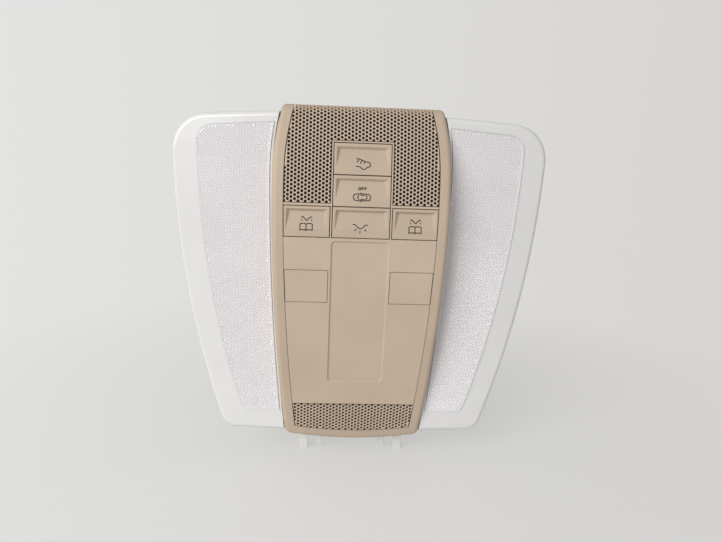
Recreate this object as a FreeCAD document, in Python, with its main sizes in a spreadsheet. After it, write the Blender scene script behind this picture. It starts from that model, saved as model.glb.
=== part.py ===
import FreeCAD, Part
import Sketcher
import math
import os
import re
from FreeCAD import Placement, Rotation, Vector

# Roof lamp unit of a car, in millimetres. X runs across the car, Z along the panel toward the upper
# grille and Y into the roof. The back rim of the lamp frame lies on Y = 0, so everything that is seen
# from below has a negative Y.

SIZES = {
    # Lamp frame: a trapezoid with bowed sides and a face domed across its width
    "frame_half_width": 121.8,
    "frame_widest_height": 90.0,
    "frame_side_radius": 615.0,
    "frame_bottom": 108.8,
    "frame_shoulder": 103.5,
    "frame_top_radius": 1345.0,
    "frame_upper_corner": 24.0,
    "frame_lower_corner": 11.0,
    "frame_rise": 12.1,
    "frame_dome_radius": 950.0,
    "frame_edge_round": 3.0,
    "frame_wall": 2.4,
    "core_step": 0.6,
    # Bands of the frame left round each lens
    "side_band": 16.6,
    "top_band": 6.4,
    "bottom_band": 15.3,
    # Lenses
    "lens_thickness": 2.2,
    "lens_proud": 0.6,
    "lens_gap": 0.3,
    "lens_seat": 2.4,
    "lens_inner_gap": 2.4,
    "lens_crown_lift": 4.0,
    "lens_upper_corner": 10.0,
    "lens_lower_corner": 6.0,
    "core_wall": 4.0,
    # Console face in side view: two arcs that meet at the crest, and a roll at the upper end
    "console_rise": 26.8,
    "console_crest_height": 25.0,
    "console_upper_face_radius": 210.0,
    "console_lower_face_radius": 600.0,
    "console_roll_radius": 8.0,
    "console_top": 112.5,
    "console_bottom": 110.9,
    # Console in front view: the seam between the trim rails and the plates, with the rails outside it
    "seam_half_width": 49.3,
    "console_widest_height": 70.0,
    "console_upper_side_radius": 165.0,
    "console_lower_side_radius": 1650.0,
    "rail_width": 7.3,
    "lip_width": 6.0,
    "lip_bow_radius": 250.0,
    "trim_corner": 5.0,
    "trim_edge_round": 3.0,
    "trim_wall": 2.0,
    "trim_gap": 0.4,
    "console_bed": 3.0,
    # Plates let into the trim
    "plate_thickness": 2.2,
    "seam_gap": 0.25,
    "ledge_width": 2.4,
    "ledge_thickness": 1.6,
    "top_bridge": 7.0,
    # Grilles
    "upper_grille_bottom": 52.9,
    "lower_grille_top": 86.2,
    "hole_pitch": 4.8,
    "hole_radius": 1.5,
    "hole_margin": 0.9,
    # Switch places
    "centre_button_half_width": 18.0,
    "strip_width": 0.9,
    "button_gap": 0.5,
    "button_height": 19.0,
    "button_foot": 31.7,
    "key_pitch": 19.6,
    "guide_back": 13.0,
    "cap_back": 12.0,
    "cap_wall": 1.3,
    # Finger scoops in the buttons
    "scoop_side_inset": 1.6,
    "scoop_head_inset": 1.5,
    "scoop_foot_inset": 4.8,
    "scoop_depth": 2.0,
    "scoop_slope": 2.0,
    "scoop_head_slope": 1.4,
    "scoop_root": 0.5,
    "scoop_lead": 1.0,
    # Panel below the buttons
    "recess_half_width": 17.8,
    "recess_top": 28.6,
    "recess_bottom": 67.4,
    "recess_depth": 0.8,
    "recess_slope": 0.7,
    "recess_corner": 2.0,
    "blank_inner": 19.8,
    "blank_top": 10.2,
    "blank_bottom": 11.5,
    "blank_thickness": 1.2,
    "blank_gap": 0.3,
    "blank_seat": 2.5,
    # Keys on the circuit board
    "board_front": 2.0,
    "board_thickness": 1.6,
    "board_half_width": 35.0,
    "board_top": 95.0,
    "board_bottom": 78.0,
    "stem_radius": 2.5,
    "plunger_radius": 1.5,
    "plunger_length": 2.6,
    "plunger_entry": 0.5,
    "plunger_gap": 0.3,
    "key_size": 6.2,
    "key_height": 4.3,
    "key_bore": 2.6,
    # Openings through the frame behind the console
    "throat_inset": 3.5,
    "throat_top": 100.0,
    "throat_bottom": 90.0,
    # Rear housing and what stands in it
    "housing_depth": 22.0,
    "housing_wall": 2.0,
    "housing_corner": 8.0,
    "housing_step": 1.5,
    "housing_top_inset": 4.6,
    "post_radius": 3.0,
    "post_across": 29.0,
    "post_upper": 88.0,
    "post_lower": 70.0,
    "boss_radius": 3.4,
    "boss_inset": 5.6,
    "boss_upper": 76.0,
    "boss_lower": 78.0,
    "screw_radius": 1.4,
    "screw_hole_gap": 0.1,
    "screw_head_radius": 2.8,
    "screw_head_height": 2.0,
    "screw_bite": 2.4,
    "board_screw_length": 7.0,
    # Wiring socket
    "header_half_length": 17.0,
    "header_half_width": 6.5,
    "header_wall": 1.2,
    "header_height": 17.0,
    "header_floor": 4.0,
    "header_centre": 45.0,
    "header_clearance": 0.5,
    "pin_size": 0.8,
    "pin_pitch": 4.0,
    "pin_row": 2.6,
    "pin_length": 8.0,
    "pin_columns": 7,
    # Sensors and microphones
    "sensor_side_room": 18.3,
    "sensor_height": 74.0,
    "sensor_radius": 8.0,
    "sensor_length": 9.0,
    "sensor_front": 15.5,
    "sensor_seat_wall": 1.4,
    "sensor_seat_overlap": 4.0,
    "microphone_across": 18.0,
    "microphone_height": 98.5,
    "microphone_radius": 5.5,
    "microphone_front": 9.6,
    # Lamps behind the lenses
    "reflector_gap": 0.5,
    "reflector_wall": 1.2,
    "reflector_taper": 1.5,
    "reflector_front": 0.4,
    "bulb_height": 38.0,
    "bulb_axis": 9.5,
    "bulb_radius": 4.5,
    "bulb_end_room": 14.6,
    "bulb_cap_radius": 3.2,
    "bulb_cap_length": 3.6,
    "bulb_shoulder": 1.0,
    "bulb_tip": 0.9,
    "bulb_tip_radius": 1.2,
    "contact_thickness": 0.8,
    "contact_half_width": 4.0,
    "contact_gap": 0.2,
    "reading_height": 36.0,
    "reading_bulb_radius": 4.6,
    "reading_bulb_front": 5.0,
    "reading_tip_radius": 2.0,
    "reading_shoulder": 8.0,
    "reading_base_radius": 4.0,
    "reading_base_length": 5.0,
    "cup_side_room": 6.3,
    "cup_throat": 5.6,
    "cup_front": 3.0,
    "cup_wall": 1.0,
    # Hook tabs and retaining springs
    "hook_across": 34.0,
    "hook_half_width": 3.0,
    "side_hook_across": 22.5,
    "side_hook_half_width": 1.7,
    "hook_reach": 130.5,
    "side_hook_reach": 127.5,
    "hook_root": 102.5,
    "roof_sheet": 3.5,
    "hook_thickness": 2.5,
    "spring_across": 62.0,
    "spring_width": 14.0,
    "spring_thickness": 0.6,
    "spring_foot": 5.0,
    "spring_back": 17.0,
    "spring_bulge": 4.0,
    "spring_bulge_depth": 9.0,
    "spring_tip": 4.0,
    # Reach of cutting blocks past what they cut
    "cut_reach": 60.0,
    "cut_width": 90.0,
    "cut_margin": 6.0,
    "overshoot": 1.0,
}

doc = FreeCAD.newDocument("roof_lamp")
sizes = doc.addObject("Spreadsheet::Sheet", "sizes")
for row, (alias, number) in enumerate(SIZES.items(), start=1):
    sizes.set(f"A{row}", alias)
    sizes.set(f"B{row}", str(number))
    sizes.setAlias(f"B{row}", alias)
doc.recompute()

# How close a place counts as being on a line or a face, and how steep a direction counts as along Y or
# forward
NEAR = 0.01
ON_FACE = 0.05
ALONG_Y = 0.999
FORWARD = -0.4

SUB_PARTS = []
TURNED = {
    "XZ": (Rotation(Vector(1, 0, 0), 90), Vector(0, 1, 0)),
    "YZ": (Rotation(Vector(1, 1, 1), 120), Vector(1, 0, 0)),
    "XY": (Rotation(), Vector(0, 0, 1)),
}


# Helpers that bind the document's objects to the sheet

def bound(text):
    """An expression in which each size is read from its cell."""
    return re.sub(r"[a-z_]\w*", lambda word: "sizes." + word[0] if word[0] in SIZES else word[0], text)


def worth(text):
    """What an expression comes to."""
    return float(sizes.evalExpression(bound(text)))


def sub_part(thing, label):
    """Marks an object as a piece of the assembly and names its file."""
    thing.Label = label
    SUB_PARTS.append(thing)
    return thing


def outline(name, plane, corners):
    """A closed sketch, drawn counter-clockwise. A corner is across and up, with a third expression for
    the radius of an arc that leads on to the next corner and a fourth value of -1 where that arc bows
    inward."""
    sketch = doc.addObject("Sketcher::SketchObject", name)
    sketch.Placement = Placement(Vector(), TURNED[plane][0])
    points = [Vector(worth(corner[0]), worth(corner[1]), 0) for corner in corners]
    ends = []
    for index, corner in enumerate(corners):
        start, stop = points[index], points[(index + 1) % len(points)]
        if len(corner) == 2:
            sketch.addGeometry(Part.LineSegment(start, stop))
            ends.append((1, 2))
            continue
        radius, side = worth(corner[2]), (corner[3] if len(corner) > 3 else 1)
        chord = stop - start
        reach = math.sqrt(radius ** 2 - (chord.Length / 2) ** 2) * side
        centre = (start + stop) * 0.5 + Vector(-chord.y, chord.x, 0).normalize() * reach
        first, last = (start, stop) if side > 0 else (stop, start)
        angles = [math.atan2(point.y - centre.y, point.x - centre.x) for point in (first, last)]
        sketch.addGeometry(Part.ArcOfCircle(Part.Circle(centre, Vector(0, 0, 1), radius), *angles))
        ends.append((1, 2) if side > 0 else (2, 1))
        sketch.addConstraint(Sketcher.Constraint("Radius", index, radius))
        sketch.setExpression(f"Constraints[{sketch.ConstraintCount - 1}]", bound(corner[2]))
    for index, corner in enumerate(corners):
        following = (index + 1) % len(corners)
        sketch.addConstraint(
            Sketcher.Constraint("Coincident", index, ends[index][1], following, ends[following][0]))
        for kind, text in zip(("DistanceX", "DistanceY"), corner):
            sketch.addConstraint(Sketcher.Constraint(kind, -1, 1, index, ends[index][0], worth(text)))
            sketch.setExpression(f"Constraints[{sketch.ConstraintCount - 1}]", bound(text))
    return sketch


def drawn(name, plane, corners, low, high):
    """An outline drawn out between two distances along the normal of its plane."""
    solid = doc.addObject("Part::Extrusion", name)
    solid.Base = outline(name + "_outline", plane, corners)
    solid.DirMode = "Custom"
    solid.Dir = TURNED[plane][1]
    solid.Solid = True
    solid.setExpression("LengthFwd", bound(high))
    solid.setExpression("LengthRev", bound(f"-({low})"))
    return solid


def block(name, x_range, y_range, z_range):
    """A box between two distances along each axis."""
    box = doc.addObject("Part::Box", name)
    for side, axis, (low, high) in zip(("Length", "Width", "Height"), "xyz", (x_range, y_range, z_range)):
        box.setExpression(side, bound(f"({high}) - ({low})"))
        box.setExpression(f"Placement.Base.{axis}", bound(low))
    return box


def rod(name, radius, x_place, y_range, z_place):
    """A round bar along Y."""
    bar = doc.addObject("Part::Cylinder", name)
    bar.Placement = Placement(Vector(), Rotation(Vector(1, 0, 0), -90))
    bar.setExpression("Radius", bound(radius))
    bar.setExpression("Height", bound(f"({y_range[1]}) - ({y_range[0]})"))
    for axis, text in zip("xyz", (x_place, y_range[0], z_place)):
        bar.setExpression(f"Placement.Base.{axis}", bound(text))
    return bar


def turned(name, corners, axis, x_place="0", y_place="0", z_place="0"):
    """A section in the XY plane turned about the X or Y axis and then moved to its place."""
    solid = doc.addObject("Part::Revolution", name)
    solid.Source = outline(name + "_section", "XY", corners)
    solid.Axis = axis
    solid.Angle = 360
    solid.Solid = True
    for letter, text in zip("xyz", (x_place, y_place, z_place)):
        solid.setExpression(f"Placement.Base.{letter}", bound(text))
    return solid


def joined(kind, name, things):
    """Several objects as one: Part::MultiFuse, Part::MultiCommon or Part::Compound."""
    whole = doc.addObject(kind, name)
    if kind == "Part::Compound":
        whole.Links = things
    else:
        whole.Shapes = things
        whole.Refine = True
    return whole


def fused(name, *things):
    return joined("Part::MultiFuse", name, list(things))


def shared(name, *things):
    return joined("Part::MultiCommon", name, list(things))


def gathered(name, *things):
    return joined("Part::Compound", name, list(things))


def trimmed(name, base, *tools):
    """A base with each tool cut from it."""
    for index, tool in enumerate(tools):
        cut = doc.addObject("Part::Cut", name if index == len(tools) - 1 else f"{name}_cut{index}")
        cut.Base = base
        cut.Tool = tool
        cut.Refine = True
        base = cut
    return base


def rounded(name, base, radius, pick, kind="Part::Fillet"):
    """The base with the edges that pick finds on it rounded, or bevelled where the kind is Part::Chamfer."""
    doc.recompute()
    smooth = doc.addObject(kind, name)
    smooth.Base = base
    reach = worth(radius)
    codes = {edge.hashCode() for edge in pick(base.Shape)}
    numbers = [index for index, edge in enumerate(base.Shape.Edges, 1) if edge.hashCode() in codes]
    smooth.Edges = [(index, reach, reach) for index in numbers]
    return smooth


def mirrored(name, thing):
    """The left-hand twin of a right-hand object."""
    twin = doc.addObject("Part::Mirroring", name)
    twin.Source = thing
    twin.Normal = Vector(1, 0, 0)
    return twin


def pair(thing, name):
    """A right-hand piece and its left-hand twin, both named for their side."""
    sub_part(thing, "right_" + name)
    sub_part(mirrored("left_" + name, thing), "left_" + name)


def upright_edges(shape, wanted):
    """Straight edges along Y whose middle is at a wanted place."""
    found = []
    for edge in shape.Edges:
        if edge.Curve.TypeId != "Part::GeomLine" or not wanted(edge.CenterOfMass):
            continue
        if abs(edge.tangentAt(edge.FirstParameter).y) > ALONG_Y:
            found.append(edge)
    return found


def front_rim(shape):
    """Edges round the group of faces that look forward."""
    edges = []
    for face in shape.Faces:
        low, high, near, far = face.ParameterRange
        if face.normalAt((low + high) / 2, (near + far) / 2).y < FORWARD:
            edges += face.Edges
    codes = [edge.hashCode() for edge in edges]
    return [edge for edge in edges if codes.count(edge.hashCode()) == 1]


# Curves of the frame and the console, as expressions

def frame_side(height, inset="0"):
    """How far across the side of the frame lies at a height."""
    return ("frame_half_width - frame_side_radius"
            f" + sqrt((frame_side_radius - ({inset}))^2 - (({height}) - frame_widest_height)^2)")


def console_side(height, outset="0", upper=False):
    """How far across the seam of the console lies at a height, or a line beside it."""
    radius = "console_upper_side_radius" if upper else "console_lower_side_radius"
    return (f"seam_half_width - {radius}"
            f" + sqrt(({radius} + ({outset}))^2 - (({height}) - console_widest_height)^2)")


def face_depth(height, under="0", upper=False):
    """Y of the console's face at a height, or of a surface some way under it."""
    radius = "console_upper_face_radius" if upper else "console_lower_face_radius"
    return (f"{radius} - console_rise"
            f" - sqrt(({radius} - ({under}))^2 - (({height}) - console_crest_height)^2)")


def frame_corners(side="0", top="0", bottom="0"):
    """The frame's outline, moved inward at the sides, top and bottom."""
    low, high = f"-frame_bottom + ({bottom})", f"frame_shoulder - ({top})"
    return [
        ("-(" + frame_side(low, side) + ")", low),
        (frame_side(low, side), low, f"frame_side_radius - ({side})"),
        (frame_side(high, side), high, "frame_top_radius"),
        ("-(" + frame_side(high, side) + ")", high, f"frame_side_radius - ({side})"),
    ]


def lens_corners(outset):
    """The right-hand lens, moved outward all round. Its inner side follows the console's trim."""
    low = f"-frame_bottom + bottom_band - ({outset})"
    high = f"frame_shoulder - top_band + ({outset})"
    crown = f"frame_shoulder - top_band + lens_crown_lift + ({outset})"
    side = f"side_band - ({outset})"
    inner = f"rail_width + lens_inner_gap - ({outset})"
    return [
        (console_side(low, inner), low),
        (frame_side(low, side), low, f"frame_side_radius - ({side})"),
        (frame_side(high, side), high),
        (console_side(crown, inner, True), crown, f"console_upper_side_radius + {inner}", -1),
        (f"seam_half_width + {inner}", "console_widest_height", f"console_lower_side_radius + {inner}", -1),
    ]


def lens_span(height):
    """How far across the right-hand lens begins and ends at a height."""
    return console_side(height, "rail_width + lens_inner_gap"), frame_side(height, "side_band")


def lens_middle(height):
    """How far across the middle of the right-hand lens lies at a height."""
    inner, outer = lens_span(height)
    return f"({inner} + {outer}) / 2"


def lens_half(height):
    """Half the width of a lens at a height."""
    inner, outer = lens_span(height)
    return f"({outer} - ({inner})) / 2"


def console_corners(outset, top, bottom, bow="lip_bow_radius"):
    """The console's outline in front view, with its lower edge bowed."""
    low = f"-({bottom})"
    return [
        ("-(" + console_side(low, outset) + ")", low, bow),
        (console_side(low, outset), low, f"console_lower_side_radius + ({outset})"),
        (f"seam_half_width + ({outset})", "console_widest_height", f"console_upper_side_radius + ({outset})"),
        (console_side(top, outset, True), top),
        ("-(" + console_side(top, outset, True) + ")", top, f"console_upper_side_radius + ({outset})"),
        (f"-(seam_half_width + ({outset}))", "console_widest_height",
         f"console_lower_side_radius + ({outset})"),
    ]


ROLL_HEIGHT = "(console_top - console_roll_radius)"
ROLL_ARM = "(console_upper_face_radius - console_roll_radius)"
ROLL_DROP = f"sqrt({ROLL_ARM}^2 - ({ROLL_HEIGHT} - console_crest_height)^2)"
ROLL_DEPTH = f"(console_upper_face_radius - console_rise - {ROLL_DROP})"
FACE_LOW = "-(console_bottom + cut_margin)"


def face_line(under):
    """Corners of the console's face in side view, from the roll down to the lower end."""
    share = f"(console_upper_face_radius - ({under})) / {ROLL_ARM}"
    return [
        (ROLL_DEPTH, f"console_top - ({under})", f"console_roll_radius - ({under})"),
        (f"console_upper_face_radius - console_rise - {ROLL_DROP} * {share}",
         f"console_crest_height + ({ROLL_HEIGHT} - console_crest_height) * {share}",
         f"console_upper_face_radius - ({under})"),
        (f"-console_rise + ({under})", "console_crest_height", f"console_lower_face_radius - ({under})"),
        (face_depth(FACE_LOW, under), FACE_LOW),
    ]


def behind_face(name, under):
    """All that lies behind the console's face, or behind a surface some way under it."""
    top = f"console_top - ({under})"
    corners = [("cut_reach", FACE_LOW), ("cut_reach", top)] + face_line(under)
    return drawn(name, "YZ", corners, "-cut_width", "cut_width")


def behind_dome(name, under):
    """All that lies behind the frame's domed face, or behind a surface some way under it."""
    radius = f"frame_dome_radius - ({under})"
    edge = f"frame_dome_radius - frame_rise - sqrt(({radius})^2 - (frame_half_width + cut_margin)^2)"
    side = "frame_half_width + cut_margin"
    corners = [(f"-({side})", edge, radius), (side, edge), (side, "cut_reach"), (f"-({side})", "cut_reach")]
    return drawn(name, "XY", corners, "-frame_bottom - cut_margin", "frame_bottom + cut_margin")


def plate_corners(low, high, bow=None):
    """A plate between the seams and two heights below the console's widest place."""
    radius = "console_lower_side_radius - seam_gap"
    foot = ("-(" + console_side(low, "-seam_gap") + ")", low)
    return [
        foot if bow is None else foot + (bow,),
        (console_side(low, "-seam_gap"), low, radius),
        (console_side(high, "-seam_gap"), high),
        ("-(" + console_side(high, "-seam_gap") + ")", high, radius),
    ]


# Surfaces that several pieces share

FRONT = "-console_rise - cut_margin"
SEAM_BOTTOM = "console_bottom - lip_width"
SEAM_BOW = "lip_bow_radius - lip_width"
STRIP_INNER = "(centre_button_half_width + button_gap)"
STRIP_OUTER = "(centre_button_half_width + button_gap + strip_width)"
KEYS_FOOT = "(button_foot - button_gap)"
SIDE_KEY_HEAD = "(button_foot + button_height + button_gap)"
TONGUE_HEAD = "(button_foot + 2 * key_pitch + button_height + button_gap)"
PANEL_HEAD = "(upper_grille_bottom - seam_gap)"
PANEL_FOOT = "(-lower_grille_top + seam_gap)"
BACK_WALL = "(housing_depth - housing_wall)"
BOARD_BACK = "(board_front + board_thickness)"

face_solid = behind_face("behind_face", "0")
plate_back = behind_face("behind_plates", "plate_thickness")
plate_band = trimmed("plate_band", face_solid, plate_back)
seam_prism = drawn("seam_prism", "XZ",
                   console_corners("0", "console_top + cut_margin", SEAM_BOTTOM, SEAM_BOW), FRONT, "0")


# Lenses

def lens_block(name, outset, back):
    """The right-hand lens outline, moved outward all round and drawn out along Y, its outer corners round."""
    prism = drawn(name, "XZ", lens_corners(outset), "-frame_rise - cut_margin", back)

    def outer(place):
        return place.x > worth(lens_middle(str(place.z)))

    first = rounded(name + "_upper", prism, f"lens_upper_corner + ({outset})",
                    lambda shape: upright_edges(shape, lambda place: outer(place) and place.z > 0))
    return rounded(name + "_lower", first, f"lens_lower_corner + ({outset})",
                   lambda shape: upright_edges(shape, lambda place: outer(place) and place.z < 0))


def lens():
    """One clear cover with its outer corners rounded."""
    skin = trimmed("lens_skin", behind_dome("lens_front", "-lens_proud"),
                   behind_dome("lens_back", "lens_thickness - lens_proud"))
    pair(shared("right_lens", lens_block("lens_prism", "0", "0"), skin), "lens")


# Lamp frame

def frame_prism(name, side, top, bottom, upper, lower, low, high):
    """The frame's outline drawn out along Y with its four corners rounded."""
    prism = drawn(name, "XZ", frame_corners(side, top, bottom), low, high)
    first = rounded(name + "_upper", prism, upper,
                    lambda shape: upright_edges(shape, lambda place: place.z > 0))
    return rounded(name + "_lower", first, lower,
                   lambda shape: upright_edges(shape, lambda place: place.z < 0))


def inner_prism(name, low, high):
    """The space inside the frame's rim."""
    return frame_prism(name, "frame_wall", "frame_wall", "frame_wall", "frame_upper_corner - frame_wall",
                       "frame_lower_corner - frame_wall", low, high)


def boss_places():
    """Where the housing's screws stand: across and height, on both sides."""
    places = []
    for height, upper in (("boss_upper", True), ("-boss_lower", False)):
        across = console_side(height, "rail_width - boss_inset", upper)
        places += [(across, height), (f"-({across})", height)]
    return places


def lamp_frame():
    """The white moulding: a domed face with a rim, two lens seats, a bed for the console and hook tabs."""
    front = "-frame_rise - cut_margin"
    prism = frame_prism("frame_prism", "0", "0", "0", "frame_upper_corner", "frame_lower_corner", front, "0")
    domed = shared("frame_domed", prism, behind_dome("frame_face", "0"))
    soft = rounded("frame_soft", domed, "frame_edge_round", front_rim)
    hollow = shared("frame_hollow", inner_prism("frame_inner", front, "cut_margin"),
                    behind_dome("frame_lining", "frame_wall"))
    lamp_core = drawn("lamp_core", "XZ",
                      frame_corners("side_band - core_wall", "-cut_margin", "bottom_band - core_wall"),
                      front, "cut_margin")
    console_core = drawn("console_core", "XZ",
                         console_corners("rail_width", "console_top", "console_bottom + cut_margin"),
                         front, "cut_margin")
    cavity = trimmed("frame_cavity", hollow, lamp_core, console_core)
    step = inner_prism("rim_step", "-core_step", "cut_margin")
    bed = drawn("bed_cut", "XZ",
                console_corners("rail_width + trim_gap", "console_top + cut_margin",
                                "console_bottom + cut_margin"),
                front, "-console_bed")
    throat = drawn("throat_cut", "XZ", console_corners("-throat_inset", "throat_top", "throat_bottom"),
                   front, "cut_margin")
    seat = trimmed("lens_seat_cut", lens_block("lens_place", "lens_gap", "cut_margin"),
                   behind_dome("lens_seat_back", "lens_thickness - lens_proud"))
    window = lens_block("lens_window", "-lens_seat", "cut_margin")
    holes = gathered("frame_screw_holes", *[
        rod(f"frame_screw_hole{index}", "screw_radius + screw_hole_gap", across,
            ("-console_bed - overshoot", "overshoot"), height)
        for index, (across, height) in enumerate(boss_places())])
    shell = trimmed("frame_shell", soft, cavity, step, bed, throat, seat, mirrored("lens_seat_twin", seat),
                    window, mirrored("lens_window_twin", window), holes)
    tabs = []
    for name in ("hook", "side_hook"):
        across, half, reach = name + "_across", name + "_half_width", name + "_reach"
        width = (f"{across} - {half}", f"{across} + {half}")
        back = "roof_sheet + hook_thickness"
        root = block(name + "_root", width, ("-console_bed", back),
                     ("-frame_bottom + frame_wall + core_step", "-hook_root"))
        leaf = block(name + "_leaf", width, ("roof_sheet", back), (f"-{reach}", "-hook_root"))
        tab = fused(name + "_tab", root, leaf)
        tabs += [tab, mirrored(name + "_twin", tab)]
    sub_part(fused("lamp_frame", shell, *tabs), "lamp_frame")


# Console trim

def console_trim():
    """The beige surround: two rails and a lower lip, with a ledge inside for the plates, hollow behind."""
    prism = drawn("trim_prism", "XZ",
                  console_corners("rail_width", "console_top + trim_gap", "console_bottom"),
                  FRONT, "-console_bed")
    corners = rounded("trim_corners", prism, "trim_corner",
                      lambda shape: upright_edges(shape, lambda place: place.z < 0))
    arched = shared("trim_arched", corners, face_solid)
    rim = rounded("trim_soft", arched, "trim_edge_round",
                  lambda shape: [edge for edge in front_rim(shape)
                                 if edge.BoundBox.YMin < -worth("console_bed") - NEAR])
    pocket = trimmed("plate_pocket", seam_prism, plate_back)
    opening = drawn("trim_opening", "XZ",
                    console_corners("-ledge_width", "console_top - top_bridge",
                                    f"{SEAM_BOTTOM} - ledge_width", f"{SEAM_BOW} - ledge_width"), FRONT, "0")
    inside = drawn("trim_inside", "XZ",
                   console_corners("rail_width - trim_wall", "console_top - trim_wall",
                                   "console_bottom - trim_wall", "lip_bow_radius - trim_wall"), FRONT, "0")
    hollow = shared("trim_hollow", inside, behind_face("behind_ledge", "plate_thickness + ledge_thickness"))
    passage = shared("key_passage", seam_prism,
                     block("key_passage_block", ("-cut_width", "cut_width"), (FRONT, "0"),
                           (f"{KEYS_FOOT} - strip_width - seam_gap", "upper_grille_bottom")))
    sub_part(trimmed("console_trim", rim, pocket, opening, hollow, passage), "console_trim")


# Panel with the strips between the buttons

def fascia_panel():
    """The lower panel, the strips that part the buttons, the long recess and the two blank places."""
    plate = shared("panel_plate", plate_band,
                   drawn("panel_prism", "XZ", plate_corners(PANEL_FOOT, PANEL_HEAD), FRONT, "0"))
    wide = drawn("guide_prism", "XZ", plate_corners(f"{KEYS_FOOT} - strip_width", PANEL_HEAD),
                 FRONT, "-guide_back")
    tongue = block("tongue_block", (f"-{STRIP_OUTER}", STRIP_OUTER), (FRONT, "-guide_back"),
                   (KEYS_FOOT, f"{TONGUE_HEAD} + strip_width"))
    guides = shared("guide_blocks", face_solid, fused("guide_union", wide, tongue))
    centre = block("centre_keyway", (f"-{STRIP_INNER}", STRIP_INNER), (FRONT, "0"), (KEYS_FOOT, TONGUE_HEAD))
    side = block("side_keyway", (STRIP_OUTER, "cut_width"), (FRONT, "0"), (KEYS_FOOT, SIDE_KEY_HEAD))
    panel = trimmed("panel_strips", fused("panel_whole", plate, guides), centre, side,
                    mirrored("side_keyway_twin", side))
    blank_range = ("-blank_bottom", "blank_top")
    blank_place = block("blank_place", ("blank_inner", "cut_width"), (FRONT, "0"), blank_range)
    blank_pocket = trimmed("blank_pocket", blank_place, behind_face("behind_blanks", "blank_thickness"))
    blank_hole = block("blank_hole",
                       ("blank_inner + blank_seat", "seam_half_width - 2 * ledge_width - blank_seat"),
                       (FRONT, "0"), ("-blank_bottom + blank_seat", "blank_top - blank_seat"))
    blanked = trimmed("panel_blanks", panel, blank_pocket, mirrored("blank_pocket_twin", blank_pocket),
                      blank_hole, mirrored("blank_hole_twin", blank_hole))
    recess = block("recess_block", ("-recess_half_width", "recess_half_width"), (FRONT, "0"),
                   ("-recess_bottom", "recess_top"))
    soft = rounded("recess_round", recess, "recess_corner",
                   lambda shape: upright_edges(shape, lambda place: True))
    tool = trimmed("recess_tool", soft, behind_face("behind_recess", "recess_depth"))
    hollowed = trimmed("panel_recessed", blanked, tool)
    sub_part(rounded("fascia_panel", hollowed, "recess_slope", recess_rim, "Part::Chamfer"), "fascia_panel")


def recess_rim(shape):
    """Edges where the walls of the long recess meet the panel's face."""
    half, top, bottom = worth("recess_half_width"), worth("recess_top"), -worth("recess_bottom")
    found = []
    for edge in front_rim(shape):
        middle = edge.valueAt((edge.FirstParameter + edge.LastParameter) / 2)
        along = middle.z - worth("console_crest_height")
        radius = "console_upper_face_radius" if along > 0 else "console_lower_face_radius"
        rise = worth(f"{radius} - console_rise") - middle.y
        on_face = abs(math.hypot(rise, along) - worth(radius)) < ON_FACE
        if on_face and abs(middle.x) < half + NEAR and bottom - NEAR < middle.z < top + NEAR:
            found.append(edge)
    return found


def blank_cover():
    """A flush cover where no switch is fitted, with the trim's curve on its outer side."""
    room = block("blank_room", ("blank_inner + blank_gap", "cut_width"), (FRONT, "0"),
                 ("-blank_bottom + blank_gap", "blank_top - blank_gap"))
    inside = drawn("blank_side", "XZ",
                   console_corners("-seam_gap - blank_gap", "console_top", SEAM_BOTTOM, SEAM_BOW), FRONT, "0")
    band = trimmed("blank_band", face_solid, behind_face("behind_covers", "blank_thickness"))
    pair(shared("right_blank_cover", room, inside, band), "blank_cover")


# Perforated grilles

def hole_field(name, low, high, keeps):
    """Six-sided holes in staggered columns over a plate, wherever the plate keeps a whole hole."""
    pitch, radius = worth("hole_pitch"), worth("hole_radius")
    front, back = worth(FRONT), -worth("console_bed")
    column_step = pitch * math.sqrt(3) / 2
    columns = int(worth("seam_half_width") / column_step)
    tools = []
    for column in range(-columns, columns + 1):
        across = column * column_step
        first = low + radius + (pitch / 2 if column % 2 else 0)
        for step in range(int((high - low) / pitch) + 1):
            height = first + step * pitch
            if height + radius < high and keeps(across, height):
                corners = [Vector(across + radius * math.cos(math.radians(60 * turn)), front,
                                  height + radius * math.sin(math.radians(60 * turn))) for turn in range(7)]
                tools.append(Part.Face(Part.makePolygon(corners)).extrude(Vector(0, back - front, 0)))
    field = doc.addObject("Part::Feature", name)
    field.Shape = Part.makeCompound(tools)
    return field


def upper_grille():
    """The perforated cover round the two upper buttons, rolled back at its upper end."""
    top = "console_top + cut_margin"
    low = "upper_grille_bottom"
    upper_side, lower_side = "console_upper_side_radius - seam_gap", "console_lower_side_radius - seam_gap"
    corners = [("-(" + console_side(low, "-seam_gap") + ")", low),
               (console_side(low, "-seam_gap"), low, lower_side),
               ("seam_half_width - seam_gap", "console_widest_height", upper_side),
               (console_side(top, "-seam_gap", True), top),
               ("-(" + console_side(top, "-seam_gap", True) + ")", top, upper_side),
               ("-(seam_half_width - seam_gap)", "console_widest_height", lower_side)]
    prism = drawn("upper_grille_prism", "XZ", corners, FRONT, "-console_bed")
    notch = block("grille_notch", (f"-{STRIP_OUTER} - seam_gap", f"{STRIP_OUTER} + seam_gap"), (FRONT, "0"),
                  ("0", f"{TONGUE_HEAD} + strip_width + seam_gap"))
    plate = trimmed("upper_grille_plate", shared("upper_grille_blank", plate_band, prism), notch)
    room = worth("hole_radius + hole_margin")
    notch_side = worth(f"{STRIP_OUTER} + seam_gap") + room
    notch_head = worth(f"{TONGUE_HEAD} + strip_width + seam_gap") + room

    def keeps(across, height):
        beside = abs(across) > notch_side or height > notch_head
        upper = height > worth("console_widest_height")
        return beside and abs(across) + room < worth(console_side(str(height), "-seam_gap", upper))

    margin = worth("hole_margin")
    holes = hole_field("upper_holes", worth(low) + margin, worth("console_top - console_roll_radius"), keeps)
    sub_part(trimmed("upper_grille", plate, holes), "upper_grille")


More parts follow.
